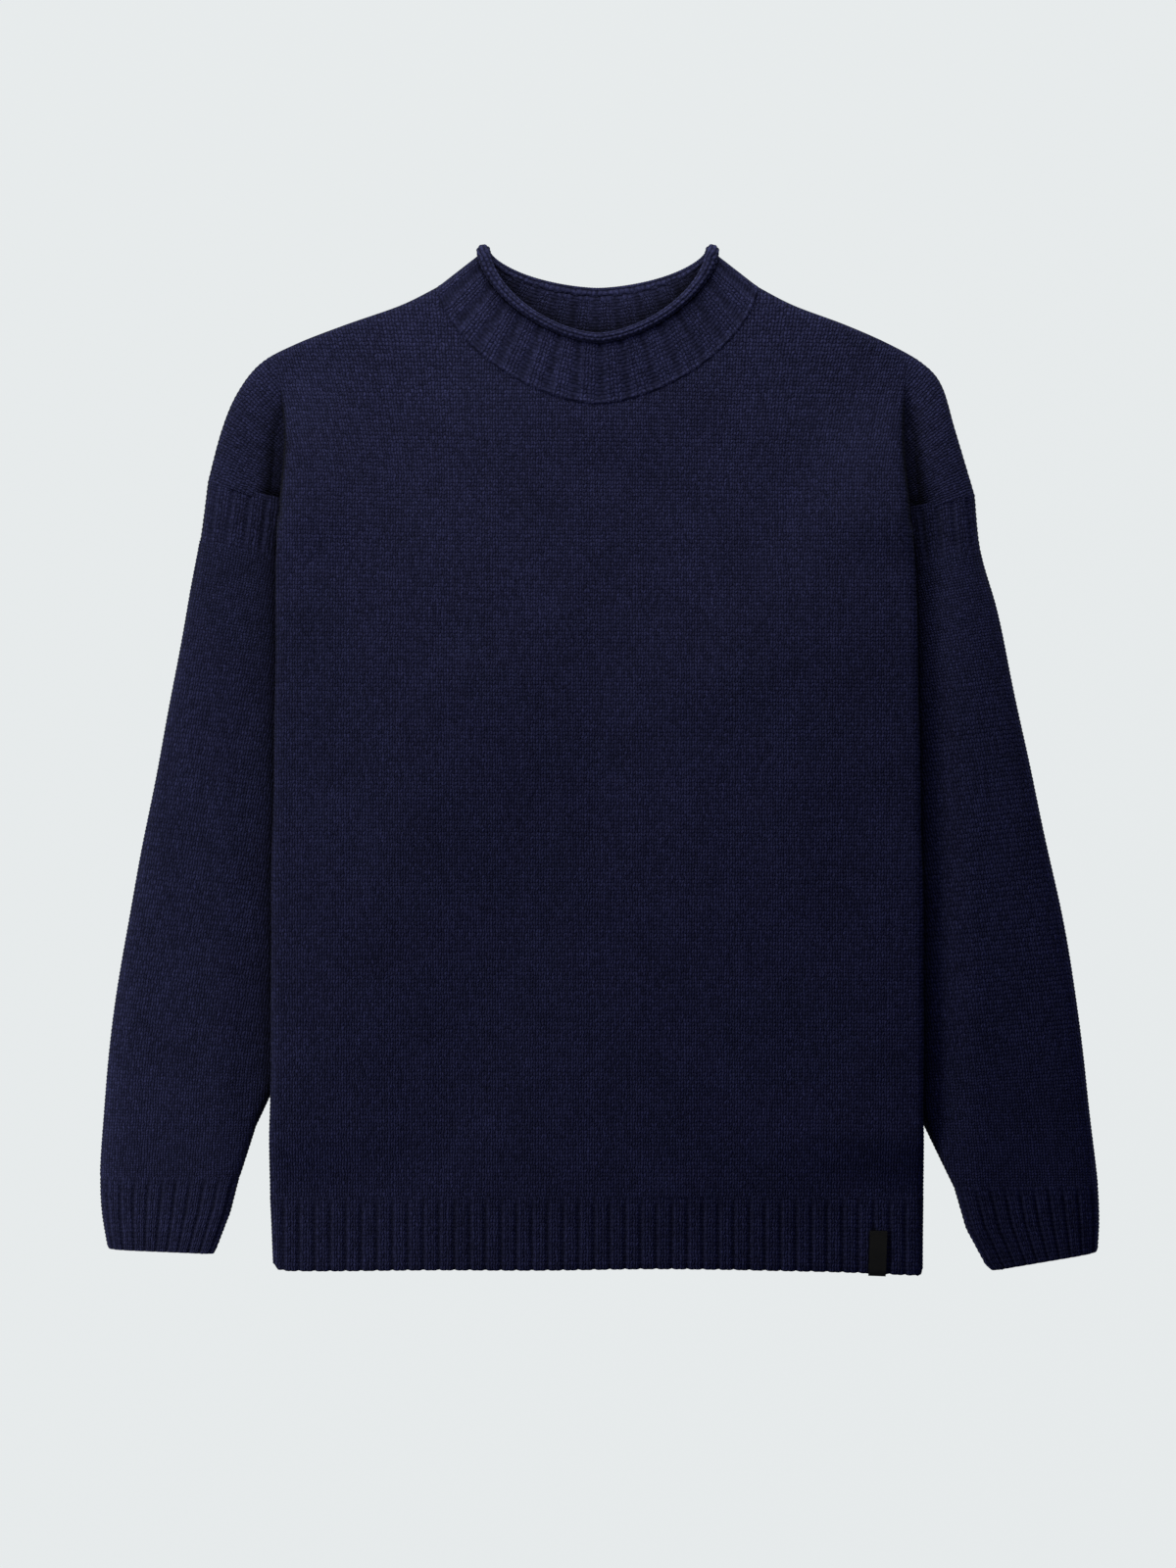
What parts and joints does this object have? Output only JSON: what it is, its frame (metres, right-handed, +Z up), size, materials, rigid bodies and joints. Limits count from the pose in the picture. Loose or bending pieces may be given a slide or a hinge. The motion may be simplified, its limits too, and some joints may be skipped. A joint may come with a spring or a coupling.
{
  "type": "guernsey fisherman sweater",
  "caption": "Navy wool guernsey sweater laid flat, front up, sleeves tucked behind the body, with a ribbed mock collar, a rolled neck edge and ribbed hem, cuffs and sleeve heads.",
  "frame": {"origin": "centre of the underside, at the middle of the bottom of the garment's box, on the surface it lies on", "axes": "+X towards the wearer's left sleeve, +Y from hem to collar, +Z up from the surface through back and front"},
  "size_m": [0.6694, 0.6856, 0.0211],
  "materials": {
    "knit": "matte stocking stitch in worsted wool",
    "rib": "matte two-by-two rib in worsted wool",
    "roll": "matte reverse stocking stitch in worsted wool",
    "tab": "plain black woven ribbon"
  },
  "bodies": {
    "root": {"front": "knit", "back": "knit", "front_hem": "rib", "back_hem": "rib", "right_sleeve_head": "rib", "right_sleeve": "knit", "right_cuff": "rib", "left_sleeve_head": "rib", "left_sleeve": "knit", "left_cuff": "rib", "collar": "rib", "collar_roll": "roll", "hem_tab": "tab"}
  },
  "joints": []
}
